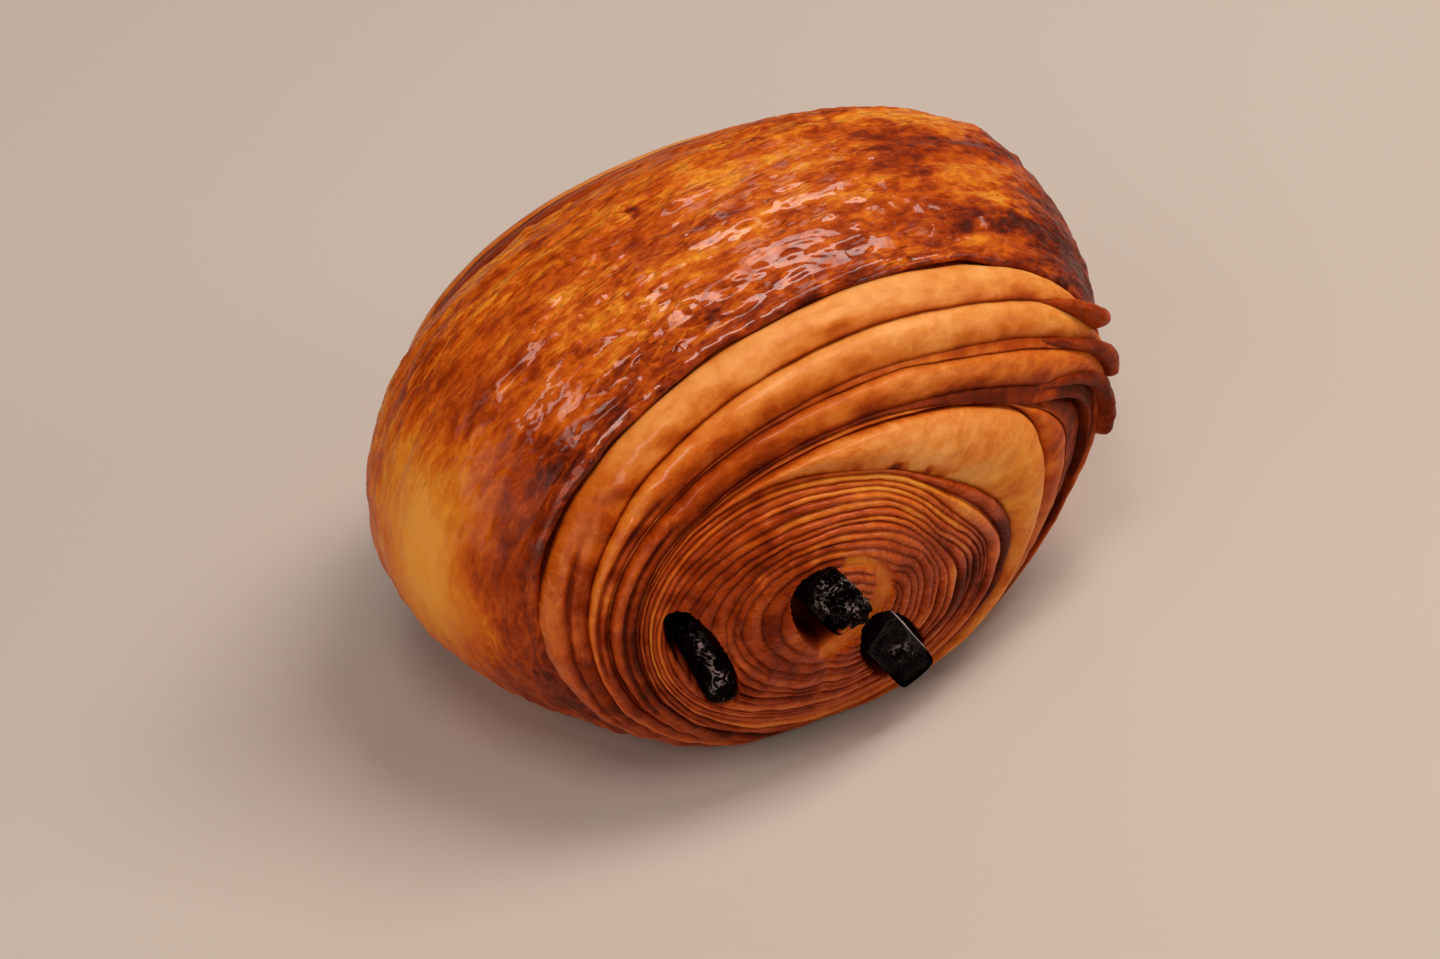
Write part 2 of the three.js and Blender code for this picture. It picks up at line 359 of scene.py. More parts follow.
def browning_group():
    """Shader group for baked dough. Its place is stretched and read by streaks, specks, veins and
    fine lines along the layers, which shift how far the dough is toasted, and the result picks a
    colour, bare or egg-washed."""
    tree = bpy.data.node_groups.new("dough_browning", "ShaderNodeTree")
    for in_out, sockets in (("INPUT", GROUP_INPUTS), ("OUTPUT", GROUP_OUTPUTS)):
        for name, kind in sockets.items():
            tree.interface.new_socket(name, in_out=in_out, socket_type=f"NodeSocket{kind}")
    node = nodes_of(tree)
    given = node("NodeGroupInput").outputs
    place, wash = given["Place"], given["Wash"]
    long = stretched(node, place, given["Stretch"])
    streak = noise(node, long, 1, 3.5, 0.58, 0.3)
    speck = noise(node, place, 1100, 3, 0.6)
    fold = noise(node, long, 0.9, 2, 0.5, 0.25)
    folded = noise(node, long, 0.28)
    vein = calculated(node, "MULTIPLY", ranged(node, off_middle(node, fold), 0.0, 0.08, 1.0, 0.0),
                      ranged(node, folded, 0.42, 0.6, 0.0, 1.0))
    vein = calculated(node, "MULTIPLY", vein, wash)
    shift = calculated(node, "MULTIPLY_ADD", streak, 1.3, -0.775)
    shift = calculated(node, "MULTIPLY_ADD", speck, 0.35, shift)
    shift = calculated(node, "MULTIPLY_ADD", vein, -0.26, shift)
    level = calculated(node, "MULTIPLY_ADD", shift, given["Contrast"], given["Toast"])
    line = noise(node, stretched(node, place, LINE_STRETCH), 1, 3, 0.6, 0.25)
    line = calculated(node, "MULTIPLY", calculated(node, "SUBTRACT", line, 0.5), given["Lines"])
    level = calculated(node, "MULTIPLY_ADD", line, -0.6, level)
    relief = calculated(node, "MULTIPLY_ADD", line, 1.6, streak)
    colour = blended(node, wash, ramp(node, level, TOAST_STEPS, BARE),
                     ramp(node, level, TOAST_STEPS, WASHED))
    node("NodeGroupOutput", Color=colour, Level=level, Relief=relief, Veins=vein)
    return tree


dough_browning = browning_group()


def crust_material():
    """Baked egg wash: amber mottled by toasting, under a clear glossy film with small plates and
    crinkles."""
    material, node = material_nodes("glazed_crust")
    place = mask(node, "grain", "Vector")
    rough = mask(node, "rough")
    browned = node("ShaderNodeGroup", {"node_tree": dough_browning}, Place=place,
                   Toast=mask(node, "toast"), Stretch=(240, 640, 240), Contrast=rough, Lines=0.0,
                   Wash=1.0).outputs
    moved = node("ShaderNodeVectorMath", {"operation": "MULTIPLY_ADD"}, _1=PLATE_WAVER, _2=place,
                 _0=noise(node, place, 500, output="Color")).outputs["Vector"]
    plates = node("ShaderNodeTexVoronoi", Vector=stretched(node, moved, PLATE_STRETCH),
                  Scale=1).outputs["Distance"]
    plates = calculated(node, "MULTIPLY", ranged(node, plates, 0.1, 0.8, 1.0, 0.0),
                        calculated(node, "POWER", rough, 2.0))
    normal = bumped(node, (0.4, 0.0002, noise(node, place, 1700, 3, 0.6)), (0.9, 0.0003, plates),
                    (0.85, 0.0007, calculated(node, "MULTIPLY", browned["Relief"], rough)),
                    (0.5, 0.0003, calculated(node, "MULTIPLY", browned["Veins"], rough)))
    wide = noise(node, place, 210)
    shaded(node, Base_Color=browned["Color"], Roughness=ranged(node, wide, 0.35, 0.65, 0.5, 0.38),
           Specular_IOR_Level=0.12, Specular_Tint=(1.0, 0.55, 0.35, 1),
           Coat_Weight=calculated(node, "MULTIPLY", mask(node, "glaze"),
                                  ranged(node, wide, 0.4, 0.54, 0.3, 1.0)),
           Coat_Roughness=0.08, Coat_IOR=1.5, Normal=normal)
    return material


def underneath(angle):
    """1 at the bottom and the lower left, where the crust runs into the layers without a step,
    falling to 0 up both sides."""
    return within(angle, 268, 112, 34)


def crust_calm(angle, along):
    """How far the left flank swelled out smooth, 0 to 1."""
    return facing(angle, 184, 38) * hump(along + 0.3, 0.7)


def crust_relief(points, angle, along):
    """Height of the crust above its smooth form: broad swells, long flakes cut into terraces,
    blisters and a fine grain, all but the swells calmer on the left flank, and a lip that rises
    at the edge, less a slight inset at the top and both sides."""
    rough = 1 - 0.8 * crust_calm(angle, along)
    swell = 0.0003 * wobble(points, 0.019, 1) + 0.00016 * wobble(points, 0.009, 2)
    streak = (wobble(points, (0.010, 0.0024, 0.010), 3)
              + 0.7 * wobble(points, (0.0045, 0.0012, 0.0045), 4))
    flake = terraces(0.00036 * streak, 0.00011)
    blister = 0.0005 * np.clip(wobble(points, (0.0026, 0.0013, 0.0026), 5) - 0.3, 0, 1)
    grain = 0.00005 * wobble(points, 0.0009, 6)
    lip = np.where(along < 0, 0.0003 + 0.0007 * facing(angle, 150, 34), 0.0001)
    lip = lip * (1 - 0.8 * underneath(angle)) * smooth((np.abs(along) - 0.9) / 0.08)
    widest = sum(facing(angle, middle, 26) for middle in (-4, 90, 180))
    inset = CRUST_INSET * widest * hump(along, 0.6)
    return CRUST_OFFSET - inset + swell + rough * (flake + blister + grain) + lip


def patch(angle, along, amount, middle, half_width, start, stop, soft_round, soft_along):
    """An amount between angles and between ways along, falling to 0 outside over soft edges."""
    return (amount * within(angle, middle, half_width + soft_round / 2, soft_round)
            * smooth((along - start) / soft_along + 0.5)
            * smooth((stop - along) / soft_along + 0.5))


def crust_toast(points, angle, along):
    """How far the crust is browned, 0 to 1: streaks, plus the spots, fronts and patches of the
    lists, and less where it is pale gold on the left flank and at the top right. Low at the left
    part of the toast is painted shade, and the pale gold of the flank is partly painted light."""
    toast = (0.38 + 0.07 * wobble(points, 0.014, 11) + 0.05 * wobble(points, 0.006, 12)
             + 0.09 * wobble(points, (0.014, 0.003, 0.014), 13))
    ragged = along + 0.05 * wobble(points, 0.0025, 14)
    turned = angle + np.radians(2.5) * wobble(points, 0.004, 15)
    toast += sum(amount * facing(angle, middle, width) * hump(along - way, length)
                 for amount, middle, width, way, length in SPOTS)
    toast += sum(amount * facing(angle, middle, width) * smooth((-along - start) / stretch)
                 for amount, middle, width, start, stretch in FRONTS)
    toast += sum(patch(turned, ragged, *place) for place in PATCHES)
    toast += patch(turned, along, *DARK_SPOT)
    # Paler gold on the left flank: partly the dough's own colour, partly painted light from the
    # left.
    gold = hump(degrees_from(angle, 181) + 9 * wobble(points, 0.011, 16), 28)
    toast -= 0.44 * gold * hump(along + 0.28 + 0.16 * wobble(points, 0.008, 17), 0.44)
    sideways = 9 * wobble(points, 0.01, 18) + 6 * wobble(points, 0.0042, 22)
    onwards = 0.16 * wobble(points, 0.009, 19) + 0.1 * wobble(points, 0.0038, 23)
    pale = hump(degrees_from(turned, 51) + sideways, 15) * hump(ragged - 0.24 + onwards, 0.37)
    toast -= 0.3 * smooth((pale - 0.35) / 0.18)
    return np.clip(toast, 0, 1)


def crust_glaze(angle, along):
    """How thick the glossy film lies: full on the front half of the top and on the front lip at
    the upper left, less on a spot below that, thin elsewhere."""
    return (0.06 + 0.72 * facing(angle, 102, 48) * smooth((0.25 - along) / 0.5)
            + 0.4 * facing(angle, 164, 16) * hump(along + 0.4, 0.35)
            + 0.8 * facing(angle, 150, 22) * smooth((-along - 0.93) / 0.05))


def lip_rows(edge, direction, normal):
    """Rows of a half-round lip: its middle lies half a thickness below the edge, and the arc
    swings from the normal through the direction that the crust ends in."""
    turn = np.linspace(0, np.pi, LIP_ROWS + 2)[1:-1, None, None]
    middle = edge - LIP_RADIUS * normal
    return middle + LIP_RADIUS * (np.cos(turn) * normal + np.sin(turn) * direction)


def over_lips(values, inner, more=0):
    """A mask of the outside carried over the front lip, the outside, the back lip and the inner
    rows, with more of it on the lips."""
    front, back = (np.repeat(edge, LIP_ROWS, 0) + more for edge in (values[:1], values[-1:]))
    return np.concatenate([front, values, back, values[inner]])


angle = columns_round(CRUST_COLUMNS, [(90, 118, 1)])
along = np.linspace(-1, 1, CRUST_ROWS)[:, None] + 0 * angle
along = along * (1 + 0.02 * wobble(ring_place(angle), 0.16, 21))
base = np.where(along[..., None] < 0, crust_point(FRONT, angle, np.abs(along)),
                crust_point(BACK, angle, np.abs(along)))
normal = outward(base)
outside = base + crust_relief(base, angle, along)[..., None] * normal
front_lip = lip_rows(outside[:1], unit(base[:1] - base[1:2]), normal[:1])[::-1]
back_lip = lip_rows(outside[-1:], unit(base[-1:] - base[-2:-1]), normal[-1:])
inner = np.linspace(CRUST_ROWS - 1, 0, INSIDE_ROWS).astype(int)
inside = outside[inner] - CRUST_THICKNESS * normal[inner]
rows = np.concatenate([placed(front_lip), placed(outside), placed(back_lip),
                       placed(inside, CRUST_THICKNESS)])
make_piece("crust", "dough", "dough", crust_material(), rows, grain=rows,
           toast=over_lips(crust_toast(base, angle, along), inner, 0.08),
           glaze=over_lips(crust_glaze(angle, along), inner),
           rough=over_lips(1 - 0.75 * crust_calm(angle, along), inner))


# Open layers at the front
# The side of the roll, where the dough swelled out between its own layers: three stretched cream
# bands with browned edges between them, and a smooth bulge. It is made as a closed ring of
# pillows along lines that run round the core.
CORE = (-0.0048, 0.0213)
DOME_FLATNESS = 1.97
DOME_SHOULDER = 1.31
BAND_COLUMNS = 780
GRAIN_RADIUS = 0.03
FRONT_LINES = {
    "edge": [1] * 12,
    "first": [1.0, 0.946, 0.904, 0.904, 0.902, 0.893, 0.89, 0.905, 0.92, 0.94, 0.96, 0.985],
    "second": [0.985, 0.845, 0.78, 0.786, 0.80, 0.823, 0.84, 0.85, 0.87, 0.90, 0.93, 0.96],
    "third": [0.87, 0.70, 0.66, 0.68, 0.715, 0.745, 0.765, 0.78, 0.82, 0.85, 0.88, 0.92],
    "bulge": [0.668, 0.668, 0.645, 0.662, 0.697, 0.735, 0.755, 0.768, 0.79, 0.80, 0.78, 0.70],
    "foot": [0.484, 0.432, 0.447, 0.54, 0.667, 0.725, 0.745, 0.755, 0.775, 0.775, 0.73, 0.61],
    "inner": [0.33, 0.29, 0.335, 0.44, 0.53, 0.62, 0.68, 0.67, 0.60, 0.58, 0.55, 0.45],
    "inmost": [0.19, 0.19, 0.20, 0.26, 0.36, 0.43, 0.45, 0.40, 0.34, 0.33, 0.30, 0.23],
    "core": [0] * 12,
}


def layer(behind, ahead, share, rows, crown, crease, lip, toast, paler=0, glow=0, sink=0):
    """Sizes of one layer by name. Its edge lies a share of the way from one line to another. It
    has a crown, behind it a crease of a depth and a width, and a lip of a height and a width that
    hangs over. Its toast goes from start to stop, with more on the lip and more in the crease,
    there partly as painted shade, less on the crown, partly as painted light, and gets paler from
    the top to the left. It starts sunk in."""
    return dict(locals())


SECOND_SHARE = [0.74, 0.78, 0.83, 0.88, 0.94, 0.96, 0.96, 0.96, 0.95, 0.9, 0.84, 0.74]
THIRD_SHARE = [0.66, 0.72, 0.8, 0.9, 0.95, 0.97, 0.97, 0.97, 0.96, 0.9, 0.8, 0.66]
FRONT_LAYERS = [
    layer("edge", "first", 1, 17, 0.0007, (0.0007, 0.0006), (0.00012, 0.0003, 0.0001),
          (0.14, 0.42, 0.4, 0.3), sink=0.0009),
    layer("first", "second", SECOND_SHARE, 15, 0.0009, (0.0005, 0.0004), (0.0001, 0.0003, 0.0001),
          (0.1, 0.48, 0.38, 0.1)),
    layer("first", "second", 1, 8, 0.0002, (0.00015, 0.00025), (0.0004, 0.0005, 0.0004),
          (0.6, 0.56, 0.2, 0), paler=0.2),
    layer("second", "third", THIRD_SHARE, 15, 0.0009, (0.001, 0.0005), (0.0001, 0.0003, 0.0001),
          (0.3, 0.62, 0.6, 0.15)),
    layer("second", "third", 1, 9, 0.0002, (0.0002, 0.0003), (0.0006, 0.0006, 0.0007),
          (0.82, 0.88, 0.1, 0), paler=0.4),
    # This layer lies in a recess at the right, and its high toast there is painted shade.
    layer("third", "bulge", 0.5, 9, -0.0004, (0.0018, 0.001), (0.0003, 0.0003, 0.0002),
          (0.85, 0.7, 0.15, 0)),
    layer("third", "bulge", 1, 9, 0.0008, (0.0009, 0.0004), (0.0001, 0.0003, 0.0001),
          (0.45, 0.4, 0.4, 0.1)),
    layer("bulge", "foot", 1, 26, 0.0016, (0.0011, 0.0005), (0.0001, 0.0003, 0.0002),
          (0.23, 0.38, 0.6, 0.15)),
]

# Ways along the crust and depths under it of the rows that close an open end
RIM_WAYS = [0.86, 0.93, 0.99]
RIM_DEPTHS = [0.0028, 0.0018, 0.0013]

# The narrowest that a layer gets, and the width from which its relief is full
LEAST_WIDTH = 0.00015
FULL_WIDTH = 0.0016

# Creases at the left: the line that each follows, how far outside it, and the middle and half
# width of its stretch in degrees
SIDE_FOLDS = [("first", 0.044, 188, 36), ("third", 0.030, 176, 40), ("second", 0.022, 166, 34),
              ("foot", -0.022, 176, 30)]


def around(values, angle):
    """Smooth value at an angle from values given at even steps round the roll: a cubic through
    each two of them that leaves in the direction of their neighbours."""
    values = np.asarray(values, float)
    place = angle / (2 * np.pi) % 1 * len(values)
    first = np.floor(place).astype(int)
    share = place - first
    before, start, stop, after = (values[(first + step) % len(values)] for step in (-1, 0, 1, 2))
    bend = before - 3 * start + 3 * stop - after
    rise = 2 * before - 5 * start + 4 * stop - after
    return start + 0.5 * share * (stop - before + share * (rise - share * bend))


def dome_point(end, angle, out):
    """Point of a domed end: out of the way from the core to the crust's edge in X and Z, and as
    far along Y as a rounded power curve of that share."""
    reach = crust_reach(end, angle)
    x, z = section(angle, 1 - end["taper"])
    depth = np.maximum(1 - out ** DOME_FLATNESS, 0) ** (1 / DOME_SHOULDER)
    y = end["side"] * (reach + (end["tip"] - reach) * depth)
    return packed(CORE[0] + (x - CORE[0]) * out, y, CORE[1] + (z - CORE[1]) * out)


def gap_between(end, angle, first, second):
    """Distance between two places of a domed end, given by their ways out from the core."""
    return np.linalg.norm(dome_point(end, angle, first) - dome_point(end, angle, second), axis=-1)


def layer_rows(end, lines, layers, angle, seed):
    """Rows of all the layers from the crust inwards. In each, a row lies a share of the way from
    the last layer's edge to its own. Its height is a crown, less a crease behind, plus a lip at
    the edge, and the lip is pushed over the next crease. Gives a dictionary of grids."""
    ring = ring_place(angle)
    kept = []
    last = around(lines[layers[0]["behind"]], angle)
    run = 0
    last_over = 0
    for number, one in enumerate(layers):
        behind, ahead = around(lines[one["behind"]], angle), around(lines[one["ahead"]], angle)
        share = one["share"] if np.isscalar(one["share"]) else around(one["share"], angle)
        stop = behind + (ahead - behind) * share
        step = gap_between(end, angle, stop + 0.01, stop) / 0.01
        waver = (0.00014 * wobble(ring, 0.22, seed + number)
                 + 0.00005 * wobble(ring, 0.07, seed + 50 + number)) * smooth(last / 0.5)
        stop = np.minimum(stop + waver / step, last - LEAST_WIDTH / step)
        length = gap_between(end, angle, last, stop)
        way = (np.arange(one["rows"]) + 0.5) / one["rows"]
        way = way * 0.5 + 0.25 * (1 - np.cos(np.pi * way))
        way[-1] = 1
        way = way[:, None]
        strength = np.clip(1 + 0.35 * wobble(ring, 0.13, seed + 100 + number), 0.3, 1.6)
        if number == 0:
            strength = strength * (1 - 0.9 * underneath(angle))
        narrow = np.clip(length / FULL_WIDTH, 0.15, 1)
        crease_depth, crease_width = one["crease"]
        lip_height, lip_width, over = one["lip"]
        start_toast, stop_toast, crease_toast, lip_toast = one["toast"]
        crease = hump(way * length, np.minimum(crease_width, length / 3))
        lip = hump((1 - way) * length, np.minimum(lip_width, length / 3))
        crown = 4 * way * (1 - way)
        sunk = one["sink"] * (1 - underneath(angle)) * (1 - 0.6 * facing(angle, 76, 44))
        kept.append({
            "out": last + (stop - last) * way,
            "height": narrow * (one["crown"] * crown ** 0.8 - sunk * (1 - way) ** 1.5
                                - crease_depth * strength * crease
                                + lip_height * strength * lip),
            "over": narrow * (over * lip - last_over * crease),
            # More toast in the crease is partly painted shade, and less on the crown partly
            # painted light.
            "toast": (start_toast + (stop_toast - start_toast) * way ** 1.6
                      - one["paler"] * within(angle, 165, 72, 60) - one["glow"] * crown
                      + strength * (crease_toast * crease + lip_toast * lip)),
            "run": run + way * np.mean(length) + 0 * length,
            "way": number + way + 0 * length})
        run += np.mean(length)
        last, last_over = stop, over
    return {key: np.concatenate([one[key] for one in kept]) for key in kept[0]}


def raised(end, columns, rows, height):
    """Points of an open end: the dome's, moved out along its normal by a height and towards the
    core by how far the lips hang over."""
    base = dome_point(end, columns, rows["out"])
    nearer = dome_point(end, columns, np.maximum(rows["out"] - 0.002, 0.0001))
    inward = unit(nearer - base + 1e-12)
    wrapped = np.concatenate([base[:, -1:], base, base[:, :1]], 1)
    normal = unit(np.cross(np.gradient(wrapped, axis=1)[:, 1:-1], inward)) * -end["side"]
    return base + height[..., None] * normal + rows["over"][..., None] * inward


def sunk_rows(end, columns, out, depths):
    """Two rows of an open end that lie under it, each at its way out and its depth."""
    return raised(end, columns, {"out": out, "over": np.zeros((2, 1))},
                  0 * columns - np.array(depths)[:, None])


def rim_rows(end, columns):
    """Three rows that close an open end under the crust: the crust's points near its edge, moved
    in along their normals."""
    base = crust_point(end, columns, np.array(RIM_WAYS)[:, None])
    normal = outward(base[::end["side"]])[::end["side"]]
    return base - np.array(RIM_DEPTHS)[:, None, None] * normal


def padded(rows, before, after=(0, 0)):
    """A mask with rows added before and after it, each given as their count and their value."""
    added = [np.full((count, rows.shape[1]), value, float) for count, value in (before, after)]
    return np.concatenate([added[0], rows, added[1]])


def along_layers(columns, run):
    """Place for streaks that follow the layers: round a circle, and along Y how far the layer
    lies from the crust."""
    return packed(GRAIN_RADIUS * np.cos(columns), run, GRAIN_RADIUS * np.sin(columns))


def layers_material():
    """Baked dough at the open end: cream where it stretched, brown at its edges. Where lines are
    given it has thin layers too small to model, and a buttery shine."""
    material, node = material_nodes("open_layers")
    lines = mask(node, "lines")
    browned = node("ShaderNodeGroup", {"node_tree": dough_browning},
                   Place=mask(node, "grain", "Vector"), Toast=mask(node, "toast"),
                   Stretch=(450, 950, 450), Contrast=0.36, Wash=mask(node, "wash"),
                   Lines=calculated(node, "MULTIPLY", lines, 0.4)).outputs
    spot = node("ShaderNodeTexCoord").outputs["Object"]
    normal = bumped(node, (0.4, 0.0002, noise(node, spot, 1400, 3, 0.6)),
                    (0.6, 0.0003, browned["Relief"]),
                    (0.4, 0.0003, calculated(node, "MULTIPLY", browned["Veins"], lines)))
    shaded(node, Base_Color=browned["Color"], Roughness=ranged(node, lines, 0.1, 0.9, 0.55, 0.38),
           Coat_Weight=calculated(node, "MULTIPLY", lines,
                                  ranged(node, browned["Level"], 0.4, 0.8, 0.7, 0.0)),
           Coat_Roughness=0.15, Specular_IOR_Level=0.16, Specular_Tint=(1.0, 0.5, 0.25, 1),
           Subsurface_Weight=0.35, Subsurface_Radius=(1.0, 0.4, 0.2), Subsurface_Scale=0.0015,
           Normal=normal)
    return material


open_layers = layers_material()
columns = columns_round(BAND_COLUMNS, [(85, 125, 0.9), (-5, 30, 1.2)])
bands = layer_rows(FRONT, FRONT_LINES, FRONT_LAYERS, columns, 300)
way = bands["way"]
base = dome_point(FRONT, columns, bands["out"])
amber = np.where(way < 1, within(columns, 205, 100, 65), within(columns, 205, 125, 75))
folds = sum(hump(bands["out"] - around(FRONT_LINES[line], columns) - shift, 0.0065)
            * within(columns, middle, half_width, 12)
            for line, shift, middle, half_width in SIDE_FOLDS)
lower = smooth((way - np.ceil(way) + 0.6) / 0.4)
flecks = smooth((wobble(base, 0.0016, 322) + 0.05) / 0.4)
toast = (bands["toast"] + 0.05 * wobble(base, 0.006, 321)
         + (0.04 + 0.16 * lower) * wobble(base, (0.004, 0.004, 0.002), 320)
         + 0.05 * wobble(base, (0.005, 0.001, 0.001), 327))
# Amber browns the left and bottom; the last term darkens the bottom more as painted shade.
toast += 0.16 * amber + 0.12 * amber * (way < 1) + 0.1 * within(columns, 235, 60, 30)
# The side folds are darker partly as browning and partly as painted shade in their creases.
toast += 0.36 * folds + 0.05 * (way > 3) * (way < 5)
toast += 0.1 * facing(columns, 0, 28) * (way < 7)
toast += 0.1 * facing(columns, 124, 20) * (way > 1) * (way < 5)
# The bulge at the right is paler, partly painted light from the right.
toast -= 0.24 * facing(columns, 4, 34) * smooth(way - 7)
toast += 0.5 * flecks * smooth((way - 7.8) / 0.12) * facing(columns, 82, 34)
height = (bands["height"] + 0.00016 * wobble(base, 0.008, 323)
          + 0.00005 * wobble(base, 0.0016, 324)
          + 0.00022 * amber * wobble(base, (0.005, 0.005, 0.0012), 325)
          + 0.0001 * (1 - amber) * wobble(base, (0.006, 0.0012, 0.0012), 326)
          - 0.0007 * folds)
sunk = sunk_rows(FRONT, columns, bands["out"][-1:] - [[0.004], [0.02]], (0.0015, 0.004))
rows = np.concatenate([rim_rows(FRONT, columns), raised(FRONT, columns, bands, height), sunk])
amber = padded(amber, (3, amber[:1]), (2, amber[-1:]))
wash = np.clip(0.25 + 0.7 * amber + 0.75 * facing(columns, 2, 42), 0, 1)
# The three rows under the crust's lip are dark as painted shade in the groove there.
toast = np.clip(padded(toast, (3, 0.75), (2, 0.9)), 0, 1)
run = padded(bands["run"], (3, 0), (2, bands["run"][-1:]))
make_piece("front_bands", "dough", "dough", open_layers, placed(rows[::-1]), toast=toast[::-1],
           lines=0.12 + 0.6 * amber[::-1], wash=wash[::-1],
           grain=along_layers(columns, run)[::-1])


# Browned tips
# The free edges of the three outer sheets, which stand up between the bands and bake dark. Each
# is a strip swept along its line, low at the top and ending in a blunt tip at the right.
TIP_ROWS = 170
TIP_COLUMNS = 48
TIP_ROOT = 0.0014

# Name, line, angles, shifts outwards, thicknesses, heights that it stands and toast of each tip,
# where a pair is for its start at the top and its end
TIPS = [
    ("tip_upper", "first", (66, 16), (0, 0.002), (0.0003, 0.0021), (-0.0004, 0.0035), 0.72),
    ("tip_middle", "second", (80, -2), (0.018, 0), (0.0004, 0.0020), (-0.0002, 0.0027), 0.8),
    ("tip_lower", "third", (70, -15), (0.02, 0.07), (0.0005, 0.0022), (-0.0002, 0.0028), 0.84),
]


def tube(path, up, half_across, half_up, count, power=2.0):
    """Rows of a tube along a path. Its section is an oval whose cosine and sine are raised to two
    over a power, with one half size across the path and one upwards."""
    forward = unit(np.gradient(path, axis=0))
    across = unit(np.cross(forward, up))
    up = np.cross(across, forward)
    turn = np.linspace(0, 2 * np.pi, count, endpoint=False)[None, :, None]
    return (path[:, None]
            + across[:, None] * half_across[:, None, None] * powered(np.cos(turn), 2 / power)
            + up[:, None] * half_up[:, None, None] * powered(np.sin(turn), 2 / power))


def rounded_end(share, length, power=2.4):
    """Scale of a section that closes bluntly over the last length of its way from 0 to 1."""
    past = np.clip((share - (1 - length)) / length, 0, 1)
    return np.maximum(1 - past ** power, 0) ** (1 / power)


def between(pair, share):
    """Value a share of the way from the first to the second of a pair."""
    return pair[0] + (pair[1] - pair[0]) * share


for number, (name, line, angles, shift, thick, standing, browned) in enumerate(TIPS):
    share = 1 - (1 - np.linspace(0.0005, 0.9995, TIP_ROWS)) ** 1.8
    tip_angle = np.radians(between(angles, share))
    grown = smooth((share - 0.35) / 0.62)
    tip_out = around(FRONT_LINES[line], tip_angle) + between(shift, grown)
    base = dome_point(FRONT, tip_angle, tip_out)
    inward = unit(dome_point(FRONT, tip_angle, tip_out - 0.002) - base)
    upward = unit(np.cross(inward, np.gradient(base, axis=0)))
    end_scale = rounded_end(share, 0.03) * rounded_end(1 - share, 0.1, 2)
    waver = 1 + 0.16 * wobble(base, 0.005, 330 + number)
    stands = between(standing, grown ** 1.3) * waver
    half_up = (stands + TIP_ROOT) / 2 * (0.25 + 0.75 * end_scale) * np.minimum(1, end_scale * 4)
    half_across = between(thick, grown) / 2 * end_scale * waver * 1.15
    path = base + ((stands - TIP_ROOT) / 2)[:, None] * upward
    rows = tube(path, upward, half_across, half_up, TIP_COLUMNS, 2.5)
    crumb = 0.1 * wobble(rows, 0.0016, 340 + number) + 0.05 * wobble(rows, 0.0007, 350 + number)
    rows = path[:, None] + (rows - path[:, None]) * (1 + crumb[..., None])
    toast = browned + 0.1 * wobble(rows, (0.004, 0.001, 0.004), 360 + number)
    make_piece(name, "dough", "dough", open_layers, placed(rows), placed(path[[0, -1]]),
               grain=rows, toast=np.clip(toast, 0, 1), lines=0 * toast + 0.3,
               wash=0 * toast + 0.8)


# Swirl round the core
# The many thin layers of the rolled dough, seen on edge: browned ridges with dark grooves, wider
# and blotchy at the left, pressed in round the chocolate. It is made as a closed shell, whose
# rows follow the layers.
SWIRL_COLUMNS = 560
LAMINA_TOAST = [0.62, 0.33, 0.52, 0.42, 0.58, 0.44, 0.6, 0.46, 0.62, 0.5, 0.66, 0.5, 0.66, 0.52,
                0.68, 0.5, 0.62, 0.5]
LAMINA_ROWS = 8
WIDE_AT_RIGHT = {0: 2.6, 1: 3.4}
SWIRL_SPANS = [("foot", "inner", 5), ("inner", "inmost", 6), ("inmost", "core", 7)]

# Middle in X and Z, width, thickness and turn in degrees of the hollow round each stick
HOLLOWS = [(-0.0263, 0.0212, 0.0168, 0.0052, -66), (-0.0103, 0.0235, 0.0128, 0.0082, -57),
           (0.0002, 0.0124, 0.0160, 0.0072, -57)]

# Places in X and Z along the fold of dough between the middle and right sticks
CORE_FOLD = np.array([(-0.0070, 0.0290), (-0.0046, 0.0282), (-0.0027, 0.0265), (-0.0018, 0.0246),
                      (-0.0020, 0.0228), (-0.0034, 0.0210), (-0.0052, 0.0198), (-0.0074, 0.0188),
                      (-0.0102, 0.0174)])


def swirl_layers(spans, toasts, wide, seed):
    """Layers of the swirl: each span is cut into parts whose widths are drawn at random at six
    angles, so that they swell and pinch out on their way round. Some are wide at the right."""
    draw = np.random.default_rng(seed)
    layers = []
    for behind, ahead, count in spans:
        widths = draw.uniform(0.6, 1.4, (count, 6))
        for number in range(count):
            widths[number, 0] *= wide.get(len(layers) + number, 1)
        for share in np.cumsum(widths, 0) / widths.sum(0) * (0.93 if ahead == "core" else 1):
            browned = toasts[len(layers)]
            layers.append(layer(
                behind, ahead, share, LAMINA_ROWS, draw.uniform(0.0004, 0.0008),
                (draw.uniform(0.0002, 0.0005), 0.0004), (0, 0.0003, 0),
                (browned + 0.12, browned + 0.1, 0.04, 0), glow=0.24))
    return layers


def turned(across, up, degrees):
    """A place in X and Z turned by some degrees."""
    cosine, sine = np.cos(np.radians(degrees)), np.sin(np.radians(degrees))
    return across * cosine - up * sine, across * sine + up * cosine


def pressed(points):
    """How far the dough is pressed in round the sticks, 1 inside lens-shaped hollows and 0 outside
    with soft walls: the sum of the distances along and across a hollow over its half sizes, each
    raised to a power."""
    depths = []
    for x, z, width, thick, turn in HOLLOWS:
        along, through = turned(points[..., 0] - x, points[..., 2] - z, -turn)
        size = np.abs(2 * along / width) ** 2.4 + np.abs(2 * through / thick) ** 2.4
        depths.append(smooth((1.1 - size) / 0.22))
    return np.max(depths, axis=0)


def distance_to_path(points, path):
    """Distance in X and Z from points to a path of straight parts."""
    spot = points[..., None, [0, 2]]
    start, part = path[:-1], np.diff(path, axis=0)
    share = np.clip(((spot - start) * part).sum(-1) / (part ** 2).sum(-1), 0, 1)
    return np.linalg.norm(spot - start - share[..., None] * part, axis=-1).min(-1)


